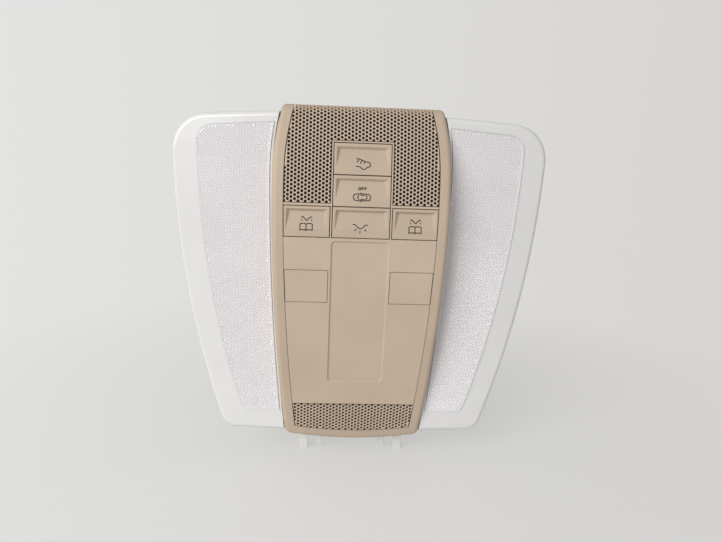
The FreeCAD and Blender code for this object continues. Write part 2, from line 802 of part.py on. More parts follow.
def lower_grille():
    """The perforated cover at the lower end, with a bowed lower edge."""
    high = "-lower_grille_top - seam_gap"
    low = f"-({SEAM_BOTTOM}) + seam_gap"
    prism = drawn("lower_grille_prism", "XZ", plate_corners(low, high, f"{SEAM_BOW} - seam_gap"), FRONT, "0")
    plate = shared("lower_grille_plate", plate_band, prism)
    room = worth("hole_radius + hole_margin")

    def keeps(across, height):
        return abs(across) + room < worth(console_side(str(height), "-seam_gap"))

    margin = worth("hole_margin")
    holes = hole_field("lower_holes", worth(low) + margin, worth(high) - margin, keeps)
    sub_part(trimmed("lower_grille", plate, holes), "lower_grille")


# Buttons with their plungers and switches

KEY_FRONT = "(board_front - key_height)"
STEM_END = f"({KEY_FRONT} + plunger_entry - plunger_length)"


def button(name, low, high, foot, outer=None):
    """A hollow cap with a finger scoop and a stem, the plunger that it pushes and the switch below."""
    head = f"({foot} + button_height)"
    middle = f"({foot} + button_height / 2)"
    across = f"(({low}) + ({high})) / 2"
    half = f"(({high}) - ({low})) / 2"
    whole = [block(name + "_cap", (low, high), (FRONT, "-cap_back"), (foot, head)), face_solid]
    whole += [outer] if outer else []
    scoop = doc.addObject("Part::Wedge", name + "_scoop")
    spread = "(1 + scoop_lead / scoop_depth)"
    floor_run = "(button_height - scoop_foot_inset - scoop_head_inset - scoop_head_slope - scoop_root)"
    root_top = "(button_height / 2 - scoop_head_inset - scoop_head_slope)"
    for key, text in {
        "Ymin": "-scoop_lead",
        "Ymax": "scoop_depth",
        "Xmin": f"-({half} - scoop_side_inset - scoop_slope) - scoop_slope * {spread}",
        "Xmax": f"{half} - scoop_side_inset - scoop_slope + scoop_slope * {spread}",
        "Zmin": f"{root_top} - scoop_root - {floor_run} * {spread}",
        "Zmax": f"{root_top} + scoop_head_slope * {spread}",
        "X2min": f"-({half} - scoop_side_inset - scoop_slope)",
        "X2max": f"{half} - scoop_side_inset - scoop_slope",
        "Z2min": f"{root_top} - scoop_root",
        "Z2max": root_top,
    }.items():
        setattr(scoop, key, worth(text))
        scoop.setExpression(key, bound(text))
    lean = f"asin(({middle} - console_crest_height) / console_upper_face_radius)"
    scoop.Placement = Placement(Vector(), Rotation(Vector(-1, 0, 0), worth(lean)))
    scoop.setExpression("Placement.Rotation.Angle", bound(lean))
    for axis, text in zip("xyz", (across, face_depth(middle, "0", True), middle)):
        scoop.setExpression(f"Placement.Base.{axis}", bound(text))
    inside = shared(name + "_inside", behind_face(name + "_lining", "scoop_depth + cap_wall"),
                    block(name + "_room", (f"({low}) + cap_wall", f"({high}) - cap_wall - button_gap"),
                          (FRONT, "0"), (f"{foot} + cap_wall", f"{head} - cap_wall")))
    shell = trimmed(name + "_shell", shared(name + "_solid", *whole), scoop, inside)
    stem = rod(name + "_stem", "stem_radius", across,
               (face_depth(middle, "scoop_depth + cap_wall / 2", True), STEM_END), middle)
    sub_part(fused(name + "_button", shell, stem), name + "_button")
    plunger = rod(name + "_plunger", "plunger_radius", across,
                  (STEM_END, f"{STEM_END} + plunger_length"), middle)
    sub_part(plunger, name + "_plunger")
    body = block(name + "_body", (f"{across} - key_size / 2", f"{across} + key_size / 2"),
                 (KEY_FRONT, "board_front"), (f"{middle} - key_size / 2", f"{middle} + key_size / 2"))
    bore = rod(name + "_bore", "plunger_radius + plunger_gap", across,
               (f"{KEY_FRONT} - overshoot", f"{KEY_FRONT} + key_bore"), middle)
    sub_part(trimmed(name + "_switch", body, bore), name + "_switch")


def buttons():
    for index, name in enumerate(("courtesy_light", "motion_alarm", "tow_alarm")):
        foot = f"(button_foot + {index} * key_pitch)"
        button(name, "-centre_button_half_width", "centre_button_half_width", foot)
    inside = drawn("side_key_limit", "XZ",
                   console_corners("-button_gap", "console_top", SEAM_BOTTOM, SEAM_BOW), FRONT, "0")
    inner, outer = f"({STRIP_OUTER} + button_gap)", "(seam_half_width - button_gap)"
    button("right_reading", inner, outer, "button_foot", inside)
    button("left_reading", f"-{outer}", f"-{inner}", "button_foot", inside)


# Circuit board, its screws and the wiring socket

def post_places():
    heights = ("post_upper", "-post_lower")
    return [(across, height) for across in ("post_across", "-post_across") for height in heights]


def screw(name, across, height, seat, tip):
    """A screw with a round head, its head toward the seat's side."""
    way = 1 if worth(seat) > worth(tip) else -1
    shank_range = (tip, seat) if way > 0 else (seat, tip)
    head_range = (seat, f"{seat} + screw_head_height") if way > 0 else (f"{seat} - screw_head_height", seat)
    return fused(name, rod(name + "_shank", "screw_radius", across, shank_range, height),
                 rod(name + "_head", "screw_head_radius", across, head_range, height))


def circuit_board():
    plate = block("board_plate", ("-board_half_width", "board_half_width"), ("board_front", BOARD_BACK),
                  ("-board_bottom", "board_top"))
    holes = gathered("board_holes", *[
        rod(f"board_hole{index}", "screw_radius + screw_hole_gap", across,
            ("board_front - overshoot", f"{BOARD_BACK} + overshoot"), height)
        for index, (across, height) in enumerate(post_places())])
    sub_part(trimmed("circuit_board", plate, holes), "circuit_board")
    screws = [screw(f"board_screw{index}", across, height, "board_front", "board_front + board_screw_length")
              for index, (across, height) in enumerate(post_places())]
    sub_part(gathered("board_screws", *screws), "board_screws")


def wiring_socket():
    """The socket on the back of the board and its rows of pins."""
    long = ("-header_half_length", "header_half_length")
    wide = ("-header_centre - header_half_width", "-header_centre + header_half_width")
    body = block("header_body", long, (BOARD_BACK, f"{BOARD_BACK} + header_height"), wide)
    room = block("header_room", (f"{long[0]} + header_wall", f"{long[1]} - header_wall"),
                 (f"{BOARD_BACK} + header_floor", f"{BOARD_BACK} + header_height + overshoot"),
                 (f"{wide[0]} + header_wall", f"{wide[1]} - header_wall"))
    sub_part(trimmed("connector_header", body, room), "connector_header")
    pins = []
    for column in range(SIZES["pin_columns"]):
        for row in (-1, 1):
            across = f"(({column} - (pin_columns - 1) / 2) * pin_pitch)"
            height = f"(-header_centre + {row} * pin_row)"
            foot = f"{BOARD_BACK} + header_floor"
            pins.append(block(f"pin{len(pins)}", (f"{across} - pin_size / 2", f"{across} + pin_size / 2"),
                              (foot, f"{foot} + pin_length"),
                              (f"{height} - pin_size / 2", f"{height} + pin_size / 2")))
    sub_part(gathered("connector_pins", *pins), "connector_pins")


# Sensors behind the upper grille and microphones behind the lower one

def listeners():
    back = "(-sensor_front + sensor_length)"
    across = "seam_half_width - sensor_side_room"
    sensor = rod("right_motion_sensor", "sensor_radius", across,
                 ("-sensor_front", back), "sensor_height")
    pair(sensor, "motion_sensor")
    post = rod("sensor_post", "sensor_radius + sensor_seat_wall", across,
               (f"{back} - sensor_seat_overlap", "board_front"), "sensor_height")
    seat = rod("sensor_seat", "sensor_radius", across,
               (f"{back} - sensor_seat_overlap - overshoot", back), "sensor_height")
    pair(trimmed("right_sensor_holder", post, seat), "sensor_holder")
    pair(rod("right_microphone", "microphone_radius", "microphone_across",
             ("-microphone_front", "-console_bed"), "-microphone_height"), "microphone")


# Lamps behind the lenses

def lofted(name, front, front_depth, back, back_depth):
    """A straight-sided loft between two lens-shaped outlines."""
    solid = doc.addObject("Part::Loft", name)
    sections = []
    for label, outset, depth in (("front", front, front_depth), ("back", back, back_depth)):
        sketch = outline(f"{name}_{label}", "XZ", lens_corners(outset))
        sketch.setExpression("Placement.Base.y", bound(depth))
        sections.append(sketch)
    solid.Sections = sections
    solid.Solid = True
    solid.Ruled = True
    return solid


def lamps():
    """A white reflector behind each lens, a courtesy bulb on two contacts and a reading bulb in a cup."""
    rim = "-lens_seat - reflector_gap"
    front = "reflector_front - core_step"
    lining = f"{rim} - reflector_wall"
    floor = f"({BACK_WALL} - reflector_wall)"
    outer = lofted("reflector_outer", rim, front, f"{rim} - reflector_taper", BACK_WALL)
    inner = lofted("reflector_inner", lining, f"{front} - cut_margin", f"{lining} - reflector_taper", floor)
    pair(trimmed("right_reflector", outer, inner), "reflector")
    bulb_across = "(" + lens_middle("bulb_height") + ")"
    reading_across = "(" + lens_middle("-reading_height") + ")"
    glass_half = "(" + lens_half("bulb_height") + " - bulb_end_room)"
    cup_radius = "(" + lens_half("-reading_height") + " - cup_side_room)"
    cap_end = f"({glass_half} + bulb_cap_length)"
    bulb = turned("right_courtesy_bulb", [
        (f"-{cap_end} - bulb_tip", "0"),
        (f"{cap_end} + bulb_tip", "0"),
        (f"{cap_end} + bulb_tip", "bulb_tip_radius"),
        (cap_end, "bulb_cap_radius"),
        (glass_half, "bulb_cap_radius"),
        (f"{glass_half} - bulb_shoulder", "bulb_radius"),
        (f"-{glass_half} + bulb_shoulder", "bulb_radius"),
        (f"-{glass_half}", "bulb_cap_radius"),
        (f"-{cap_end}", "bulb_cap_radius"),
        (f"-{cap_end} - bulb_tip", "bulb_tip_radius")],
        Vector(1, 0, 0), bulb_across, "bulb_axis", "bulb_height")
    pair(bulb, "courtesy_bulb")
    tip = f"({cap_end} + bulb_tip + contact_gap)"
    contact_places = (f"{bulb_across} + {tip}", f"{bulb_across} - {tip} - contact_thickness")
    contacts = [block(f"contact{side}", (low, f"{low} + contact_thickness"),
                      ("bulb_axis - contact_half_width", floor),
                      ("bulb_height - contact_half_width", "bulb_height + contact_half_width"))
                for side, low in enumerate(contact_places)]
    pair(gathered("right_lamp_contacts", *contacts), "lamp_contacts")
    base = f"({floor} - reading_base_length)"
    reading = turned("right_reading_bulb", [
        ("0", "reading_bulb_front"),
        ("reading_tip_radius", "reading_bulb_front"),
        ("reading_bulb_radius", "reading_shoulder"),
        ("reading_bulb_radius", base),
        ("reading_base_radius", base),
        ("reading_base_radius", floor),
        ("0", floor)],
        Vector(0, 1, 0), reading_across, "0", "-reading_height")
    pair(reading, "reading_bulb")
    cup = turned("right_reading_cup", [
        (f"{cup_radius} - cup_wall", "cup_front"),
        (cup_radius, "cup_front"),
        ("cup_throat + cup_wall", floor),
        ("cup_throat", floor)],
        Vector(0, 1, 0), reading_across, "0", "-reading_height")
    pair(cup, "reading_cup")


# Rear housing, its screws and the retaining springs

def housing_prism(name, inset, low, high):
    side = f"side_band - core_wall + housing_step + ({inset})"
    bottom = f"bottom_band - core_wall + housing_step + ({inset})"
    top = f"housing_top_inset + ({inset})"
    corner = f"housing_corner - ({inset})"
    return frame_prism(name, side, top, bottom, corner, corner, low, high)


def rear_housing():
    """The tray behind the frame: posts for the board, bosses for its own screws, a gate for the socket."""
    box = trimmed("housing_box", housing_prism("housing_outer", "0", "-core_step", "housing_depth"),
                  housing_prism("housing_inner", "housing_wall", "-cut_margin", BACK_WALL))
    rooted = f"{BACK_WALL} + housing_wall / 2"
    posts = [rod(f"board_post{index}", "post_radius", across, (BOARD_BACK, rooted), height)
             for index, (across, height) in enumerate(post_places())]
    bosses = [rod(f"housing_boss{index}", "boss_radius", across, ("-core_step", rooted), height)
              for index, (across, height) in enumerate(boss_places())]
    tray = fused("housing_tray", box, *posts, *bosses)
    bores = [rod(f"boss_bore{index}", "screw_radius + screw_hole_gap", across,
                 ("-core_step - overshoot", "housing_depth + overshoot"), height)
             for index, (across, height) in enumerate(boss_places())]
    pilots = [rod(f"post_bore{index}", "screw_radius + screw_hole_gap", across,
                  (f"{BOARD_BACK} - overshoot", "board_front + board_screw_length + overshoot"), height)
              for index, (across, height) in enumerate(post_places())]
    gate = block("header_gate",
                 ("-header_half_length - header_clearance", "header_half_length + header_clearance"),
                 (f"{BACK_WALL} - overshoot", "housing_depth + overshoot"),
                 ("-header_centre - header_half_width - header_clearance",
                  "-header_centre + header_half_width + header_clearance"))
    sub_part(trimmed("rear_housing", tray, gathered("housing_bores", *bores, *pilots), gate), "rear_housing")
    screws = [screw(f"housing_screw{index}", across, height, "housing_depth", "-screw_bite")
              for index, (across, height) in enumerate(boss_places())]
    sub_part(gathered("housing_screws", *screws), "housing_screws")


def springs():
    """A bent leaf on the housing's upper wall that catches behind the roof sheet."""
    corner_height = "(frame_shoulder - housing_top_inset)"
    corner_across = frame_side(corner_height, "side_band - core_wall + housing_step")
    near = "(spring_across - spring_width / 2)"
    wall = (f"({corner_height} - sqrt(frame_top_radius^2 - ({corner_across})^2)"
            f" + sqrt(frame_top_radius^2 - {near}^2))")
    thick = "spring_thickness"
    corners = [
        ("spring_foot", wall), ("spring_back", wall), (f"spring_back + {thick}", f"{wall} + {thick}"),
        (f"spring_bulge_depth + {thick}", f"{wall} + spring_bulge + {thick}"),
        ("spring_tip", f"{wall} + spring_bulge / 2 + {thick}"), ("spring_tip", f"{wall} + spring_bulge / 2"),
        ("spring_bulge_depth", f"{wall} + spring_bulge"), (f"spring_back - 2 * {thick}", f"{wall} + {thick}"),
        ("spring_foot", f"{wall} + {thick}")]
    leaf = drawn("right_retaining_spring", "YZ", corners, near, "spring_across + spring_width / 2")
    pair(leaf, "retaining_spring")


lens()
lamp_frame()
console_trim()
fascia_panel()
blank_cover()
upper_grille()
lower_grille()
buttons()
circuit_board()
wiring_socket()
listeners()
lamps()
rear_housing()
springs()
doc.recompute()

# Every object has to be sound before any file is written
for thing in doc.Objects:
    if "Invalid" in thing.State or "Error" in thing.State:
        raise RuntimeError(f"{thing.Name} did not build: {thing.State}")
for thing in SUB_PARTS:
    if thing.Shape.isNull() or not thing.Shape.isValid() or not thing.Shape.Solids:
        raise RuntimeError(f"{thing.Label} has no sound shape")

os.makedirs("parts", exist_ok=True)
for thing in SUB_PARTS:
    thing.Shape.exportStep(f"parts/{thing.Label}.step")
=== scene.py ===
import math
import bpy
from mathutils import Euler, Matrix, Vector
from mathutils.geometry import delaunay_2d_cdt


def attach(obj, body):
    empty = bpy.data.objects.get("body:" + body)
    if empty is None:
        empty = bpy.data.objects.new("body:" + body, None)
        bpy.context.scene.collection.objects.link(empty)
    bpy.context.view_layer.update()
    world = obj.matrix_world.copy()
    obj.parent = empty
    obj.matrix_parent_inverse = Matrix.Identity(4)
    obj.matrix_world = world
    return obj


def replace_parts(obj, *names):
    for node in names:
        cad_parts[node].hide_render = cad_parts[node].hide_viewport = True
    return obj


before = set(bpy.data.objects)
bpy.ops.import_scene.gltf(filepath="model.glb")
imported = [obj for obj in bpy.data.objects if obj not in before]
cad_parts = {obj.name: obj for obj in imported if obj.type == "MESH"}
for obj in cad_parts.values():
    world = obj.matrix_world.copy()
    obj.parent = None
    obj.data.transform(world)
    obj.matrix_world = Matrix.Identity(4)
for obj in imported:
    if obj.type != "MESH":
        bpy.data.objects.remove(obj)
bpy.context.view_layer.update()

# Roof lamp unit of a car, standing on its lower end. X runs to the right, Y away from the viewer and Z up.
# Shapes below are worked out in millimetres and become metres where a mesh is made.

scene = bpy.context.scene
scene.view_settings.view_transform = "Standard"
METRE = 0.001

# The console's face in side view, as the solids have it: two arcs that meet at the crest, then a roll.
# The roll's start and end are measured along the face from the crest.
RISE = 26.8
CREST = 25.0
UPPER_FACE = 210.0
LOWER_FACE = 600.0
ROLL_RADIUS = 8.0
ROLL_CENTRE = (-2.49, 104.5)
ROLL_START = 84.94
ROLL_END = 93.76

# The console in front view: its seam with the rails, the gap there and the strips round the keys
SEAM = 49.3
WIDEST = 70.0
UPPER_SIDE = 165.0
LOWER_SIDE = 1650.0
SEAM_GAP = 0.25
STRIP = 0.9

# The keys, and the floor of their finger scoops from a key's middle upward
KEY_HALF_WIDTH = 18.0
KEY_HEIGHT = 19.0
KEY_GAP = 0.5
KEY_FOOT = 31.7
KEY_PITCH = 19.6
READING_SIDE = 34.4
SCOOP_FOOT = -4.7
SCOOP_RUN = 10.8
SCOOP_DEPTH = 2.0


# Nodes and materials

class Shader:
    """One procedural material and the nodes that feed its surface."""

    def __init__(self, name):
        self.material = bpy.data.materials.new(name)
        self.material.use_nodes = True
        self.nodes = self.material.node_tree.nodes
        self.links = self.material.node_tree.links
        self.surface = self.nodes["Principled BSDF"]
        self.place = self.nodes.new("ShaderNodeTexCoord").outputs["Object"]

    def add(self, kind, **settings):
        """A node with its inputs set by name."""
        node = self.nodes.new(kind)
        for key, value in settings.items():
            node.inputs[key.replace("_", " ")].default_value = value
        return node

    def join(self, source, target):
        self.links.new(source, target)

    def set(self, **values):
        """Uniform values on the surface's own sockets."""
        for key, value in values.items():
            self.surface.inputs[key.replace("_", " ")].default_value = value

    def noise(self, scale, detail=2.0, roughness=0.5):
        node = self.add("ShaderNodeTexNoise", Scale=scale, Detail=detail, Roughness=roughness)
        self.join(self.place, node.inputs["Vector"])
        return node.outputs["Fac"]

    def spread(self, source, low, high, start=0.3, stop=0.7):
        """A pattern's values carried over to a range."""
        node = self.nodes.new("ShaderNodeMapRange")
        node.inputs["From Min"].default_value = start
        node.inputs["From Max"].default_value = stop
        node.inputs["To Min"].default_value = low
        node.inputs["To Max"].default_value = high
        self.join(source, node.inputs["Value"])
        return node.outputs["Result"]

    def tones(self, source, dark, light, start=0.3, stop=0.7):
        """Two colours, mixed by a pattern."""
        ramp = self.nodes.new("ShaderNodeValToRGB")
        ramp.color_ramp.elements[0].position = start
        ramp.color_ramp.elements[0].color = (*dark, 1)
        ramp.color_ramp.elements[1].position = stop
        ramp.color_ramp.elements[1].color = (*light, 1)
        self.join(source, ramp.inputs["Fac"])
        return ramp.outputs["Color"]

    def relief(self, source, depth, strength, soft_edge=0.0):
        """Bumps from a pattern, over edges softened by a small radius in metres."""
        bump = self.add("ShaderNodeBump", Strength=strength, Distance=depth)
        self.join(source, bump.inputs["Height"])
        if soft_edge:
            bevel = self.add("ShaderNodeBevel", Radius=soft_edge)
            bevel.samples = 4
            self.join(bevel.outputs["Normal"], bump.inputs["Normal"])
        self.join(bump.outputs["Normal"], self.surface.inputs["Normal"])


def shade(share, colour):
    return tuple(share * part for part in colour)


def moulded(name, colour, roughness, grain, depth, soft_edge=0.0, variation=0.05, strength=0.35):
    """Moulded plastic: faint tone changes, uneven gloss and a fine grain."""
    shader = Shader(name)
    broad = shader.noise(scale=35.0, detail=3.0)
    tone = shader.tones(broad, shade(1 - variation, colour), shade(1 + variation / 2, colour))
    shader.join(tone, shader.surface.inputs["Base Color"])
    fine = shader.noise(grain, detail=3.0, roughness=0.6)
    gloss = shader.spread(fine, low=roughness - 0.05, high=roughness + 0.06)
    shader.join(gloss, shader.surface.inputs["Roughness"])
    shader.relief(fine, depth, strength, soft_edge)
    return shader


def metal(name, colour, roughness, stretch):
    """Bare or plated metal with fine drawn lines and a little dullness in patches."""
    shader = Shader(name)
    scaled = shader.nodes.new("ShaderNodeMapping")
    scaled.inputs["Scale"].default_value = stretch
    shader.join(shader.place, scaled.inputs["Vector"])
    lines = shader.add("ShaderNodeTexNoise", Scale=1.0, Detail=2.0)
    shader.join(scaled.outputs["Vector"], lines.inputs["Vector"])
    tone = shader.tones(lines.outputs["Fac"], shade(0.86, colour), colour)
    shader.join(tone, shader.surface.inputs["Base Color"])
    dull = shader.spread(shader.noise(scale=400.0), low=roughness - 0.06, high=roughness + 0.1)
    shader.join(dull, shader.surface.inputs["Roughness"])
    shader.relief(lines.outputs["Fac"], depth=0.00002, strength=0.3)
    shader.set(Metallic=1.0)
    return shader


BEIGE = (0.545, 0.432, 0.327)
WHITE = (0.74, 0.735, 0.73)

# Each has a colour, a roughness, the fineness of its grain and the depth of that grain in metres
beige = moulded("beige_grain", BEIGE, 0.55, 2600.0, 0.00006, soft_edge=0.0005)
# The rails get a darker copy of the panel's beige: painted shade for rails that tilt away from the light.
rail_beige_painted_shade = moulded("rail_beige_painted_shade", shade(0.93, BEIGE), 0.55, 2600.0, 0.00006, soft_edge=0.0005)
beige_key = moulded("beige_key_grain", shade(0.95, BEIGE), 0.5, 2600.0, 0.00005, soft_edge=0.0006)
grille_beige = moulded("grille_beige", shade(1.03, BEIGE), 0.5, 2600.0, 0.00004)
opal = moulded("opal_white", WHITE, 0.17, 260.0, 0.00002, soft_edge=0.0007, variation=0.02, strength=0.1)
opal.set(Coat_Weight=0.25, Coat_Roughness=0.08, Subsurface_Weight=0.12, Subsurface_Scale=0.004)
prism = moulded("prism_clear", (0.835, 0.81, 0.83), 0.16, 220.0, 0.00002, variation=0.03, strength=0.1)
prism.set(Transmission_Weight=0.12, IOR=1.49)
print_brown = moulded("print_brown", (0.028, 0.016, 0.009), 0.5, 3000.0, 0.00002, variation=0.2)
black = moulded("moulded_black", (0.028, 0.028, 0.03), 0.45, 1800.0, 0.00005, soft_edge=0.0003, variation=0.2)
pale_plastic = moulded("plunger_white", (0.72, 0.72, 0.7), 0.4, 1500.0, 0.00003, soft_edge=0.0002)
housing_grey = moulded("housing_grey", (0.52, 0.52, 0.5), 0.5, 1400.0, 0.00008, soft_edge=0.0005,
                       variation=0.06)
mirror_white = moulded("reflector_white", (0.87, 0.87, 0.86), 0.3, 500.0, 0.00003, soft_edge=0.0003,
                       variation=0.02)
glass = moulded("bulb_glass", (0.94, 0.95, 0.96), 0.09, 300.0, 0.00001, variation=0.02, strength=0.05)
glass.set(Transmission_Weight=0.9, IOR=1.45)
# A black backing cloth. Its black also stands for the shade deep in the grille's holes, as painted shade.
cloth_and_hole_shade = moulded("black_cloth", (0.012, 0.009, 0.007), 0.9, 4000.0, 0.0002, variation=0.3, strength=0.8)
laminate = moulded("green_laminate", (0.03, 0.13, 0.055), 0.42, 2200.0, 0.00004, variation=0.25)

# Each has a colour, a roughness and how close its drawn lines lie along X, Y and Z
steel = metal("zinc_steel", (0.62, 0.62, 0.61), 0.3, (300.0, 300.0, 2500.0))
brass = metal("bright_brass", (0.8, 0.6, 0.27), 0.26, (2500.0, 300.0, 300.0))
# The sensor's metal is painted dark: painted shade, so that it stays dark behind the grille's holes.
shaded_sensor_metal = metal("sensor_metal_painted_shade", (0.09, 0.09, 0.095), 0.4, (1800.0, 1800.0, 250.0))
chrome = metal("plated_cup", (0.85, 0.85, 0.86), 0.12, (900.0, 200.0, 900.0))

FINISH = {
    "white_frame": opal, "clear_lens": prism, "beige_trim": beige, "beige_button": beige_key,
    "dark_plastic": black, "switch_plastic": black, "plunger_plastic": pale_plastic, "board": laminate,
    "steel": steel, "brass_contacts": brass, "sensor_metal": shaded_sensor_metal, "white_reflector": mirror_white,
    "bulb_glass": glass, "plated_cup": chrome, "grey_housing": housing_grey,
}
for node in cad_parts.values():
    for holder in node.material_slots:
        holder.material = FINISH[holder.material.name.split(".")[0]].material
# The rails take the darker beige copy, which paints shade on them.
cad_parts["console_trim"].material_slots[0].material = rail_beige_painted_shade.material


# Meshes

# What the triangulation is asked for: faces within the edges, with points merged below a distance
WITHIN_EDGES = 1
MERGED = 1e-6


def piece(name, points, faces, shader, body, smooth=()):
    """A mesh from points in millimetres, riding on a body."""
    mesh = bpy.data.meshes.new(name)
    mesh.from_pydata([Vector(point) * METRE for point in points], [], faces)
    mesh.polygons.foreach_set("use_smooth", [index in smooth for index in range(len(mesh.polygons))])
    mesh.materials.append(shader.material)
    made = bpy.data.objects.new(name, mesh)
    scene.collection.objects.link(made)
    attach(made, body)
    return made


def face_place(x, s, under=0.0):
    """A place on the console's face, s along it from the crest and some way under it."""
    if s < 0:
        angle = s / LOWER_FACE
        reach = LOWER_FACE - under
        return Vector((x, LOWER_FACE - RISE - reach * math.cos(angle), CREST + reach * math.sin(angle)))
    if s < ROLL_START:
        angle = s / UPPER_FACE
        reach = UPPER_FACE - under
        return Vector((x, UPPER_FACE - RISE - reach * math.cos(angle), CREST + reach * math.sin(angle)))
    angle = ROLL_START / UPPER_FACE + (s - ROLL_START) / ROLL_RADIUS
    reach = ROLL_RADIUS - under
    return Vector((x, ROLL_CENTRE[0] - reach * math.cos(angle), ROLL_CENTRE[1] + reach * math.sin(angle)))


def face_height(s):
    return face_place(0, s).z


def along_face(z):
    """How far along the face from the crest a height lies, below the roll."""
    radius = UPPER_FACE if z > CREST else LOWER_FACE
    return radius * math.asin((z - CREST) / radius)


def side_at(z, outset):
    """How far across a line lies at a height, where it follows the seam at some way outside it."""
    radius = UPPER_SIDE if z > WIDEST else LOWER_SIDE
    return SEAM - radius + math.sqrt((radius + outset) ** 2 - (z - WIDEST) ** 2)


def stepped(low, high, steps):
    return [low + (high - low) * step / steps for step in range(steps + 1)]


def inside(point, outline):
    """Whether a point lies in a closed outline."""
    found = False
    for start, stop in zip(outline, outline[1:] + outline[:1]):
        if (start.y > point.y) != (stop.y > point.y):
            across = start.x + (point.y - start.y) / (stop.y - start.y) * (stop.x - start.x)
            found ^= point.x < across
    return found


def divided(line, closed, longest):
    """A line with no step longer than a length, so that it can follow a bent surface."""
    line = [Vector(point) for point in line]
    found = []
    for start, stop in zip(line, line[1:] + line[:1] if closed else line[1:]):
        steps = max(1, math.ceil((stop - start).length / longest))
        found += [start.lerp(stop, step / steps) for step in range(steps)]
    return found if closed else found + [line[-1]]


def ring_edges(first, count):
    """The edges of a closed ring of points, by number."""
    return [(first + index, first + (index + 1) % count) for index in range(count)]


def triangles(flat, edges):
    """Triangles between flat points, within edges that are kept, and each point's number before."""
    flat, _, faces, origin, _, _ = delaunay_2d_cdt(flat, edges, [], WITHIN_EDGES, MERGED)
    return flat, faces, origin


def closed_sheet(front, count):
    """The faces of a closed solid from its front faces. The back's points are numbered after the front's."""
    steps = {(start, stop) for face in front for start, stop in zip(face, list(face[1:]) + [face[0]])}
    faces = [tuple(face) for face in front]
    faces += [tuple(corner + count for corner in reversed(face)) for face in front]
    border = [(start, stop) for start, stop in steps if (stop, start) not in steps]
    faces += [(stop, start, start + count, stop + count) for start, stop in border]
    return faces, set(range(2 * len(front)))


# Perforated covers. A cover's edge keeps some room beside the gap in the seam, and its skin a little more.
# The holes start at a distance from its lower edge.

PLATE = 2.2
CLOTH_DEPTH = 0.9
EDGE_ROOM = 0.15
SKIN_INSET = 0.2
HOLE_PITCH = 2.55
HOLE_RADIUS = 0.95
HOLE_SIDES = 14
HOLE_START = 0.675
COLUMN = HOLE_PITCH * math.sqrt(3) / 2


def plate_side(z):
    """How far across the edge of a cover lies at a height."""
    return side_at(z, -SEAM_GAP) - EDGE_ROOM


def hole_ring(centre):
    turns = [2 * math.pi * turn / HOLE_SIDES for turn in range(HOLE_SIDES)]
    return [centre + Vector((math.cos(turn), math.sin(turn))) * HOLE_RADIUS for turn in turns]


def hole_grid(border):
    """Staggered hole centres within a border. The border cuts the holes that lie across it."""
    low = min(point.y for point in border) + HOLE_START
    high = max(point.y for point in border)
    rows = math.ceil((high - low) / HOLE_PITCH)
    columns = int(SEAM / COLUMN)
    found = []
    for column in range(-columns, columns + 1):
        start = low + (HOLE_PITCH / 2 if column % 2 else 0)
        places = [Vector((column * COLUMN, start + row * HOLE_PITCH)) for row in range(rows)]
        found += [place for place in places if inside(place, border)]
    return found


def bent_plate(outline, centres, inner, front, back):
    """A plate bent onto the console's face, from its outline, its holes' centres and some inner points."""
    flat = list(outline)
    edges = ring_edges(0, len(outline))
    columns = {}
    for centre in centres:
        columns.setdefault(round(centre.x / COLUMN), []).append(centre)
        edges += ring_edges(len(flat), HOLE_SIDES)
        flat += hole_ring(centre)

    def is_solid(face):
        middle = sum((flat[corner] for corner in face), Vector((0, 0))) / len(face)
        column = round(middle.x / COLUMN)
        near = [centre for step in (-1, 0, 1) for centre in columns.get(column + step, ())]
        near = [centre for centre in near if (middle - centre).length < HOLE_RADIUS]
        return inside(middle, outline) and not any(inside(middle, hole_ring(centre)) for centre in near)

    flat, faces, _ = triangles(flat + inner, edges)
    kept = [face for face in faces if is_solid(face)]
    used = sorted({corner for face in kept for corner in face})
    number = {corner: index for index, corner in enumerate(used)}
    kept = [tuple(number[corner] for corner in face) for face in kept]
    points = [face_place(*flat[corner], under) for under in (front, back) for corner in used]
    return points, *closed_sheet(kept, len(used))


def cover(name, node, outline):
    """A perforated cover with a black cloth on its back, both within the plate that they stand for. The
    cloth's black also paints the shade deep in the holes.
    """
    border = [Vector(point) for point in outline(SKIN_INSET)]
    centres = hole_grid(border)
    points, faces, smooth = bent_plate(border, centres, [], 0.0, CLOTH_DEPTH)
    skin = piece(name, points, faces, grille_beige, "lamp_unit", smooth)
    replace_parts(skin, node)
    border = [Vector(point) for point in outline(0)]
    points, faces, smooth = bent_plate(border, [], centres, CLOTH_DEPTH, PLATE)
    piece(name + "_cloth", points, faces, cloth_and_hole_shade, "lamp_unit", smooth)


UPPER_FOOT = 52.9
UPPER_STEPS = 40
NOTCH = KEY_HALF_WIDTH + KEY_GAP + STRIP + SEAM_GAP
NOTCH_HEAD = KEY_FOOT + 2 * KEY_PITCH + KEY_HEIGHT + KEY_GAP + STRIP + SEAM_GAP


def upper_cover():
    low = along_face(UPPER_FOOT)
    head = along_face(NOTCH_HEAD)

    def outline(inset):
        places = stepped(low + inset, ROLL_END, UPPER_STEPS)
        side = [(plate_side(face_height(s)) - inset, s) for s in places]
        left = [(-x, s) for x, s in reversed(side)]
        notch = NOTCH + inset
        rise = head + inset
        return [(-notch, low + inset), (-notch, rise), (notch, rise), (notch, low + inset)] + side + left

    cover("upper_cover", "upper_grille", outline)


LOWER_TOP = -86.45
LOWER_FOOT = -104.65
LOWER_BOW = 243.75
BOW_STEPS = 30
END_STEPS = 4


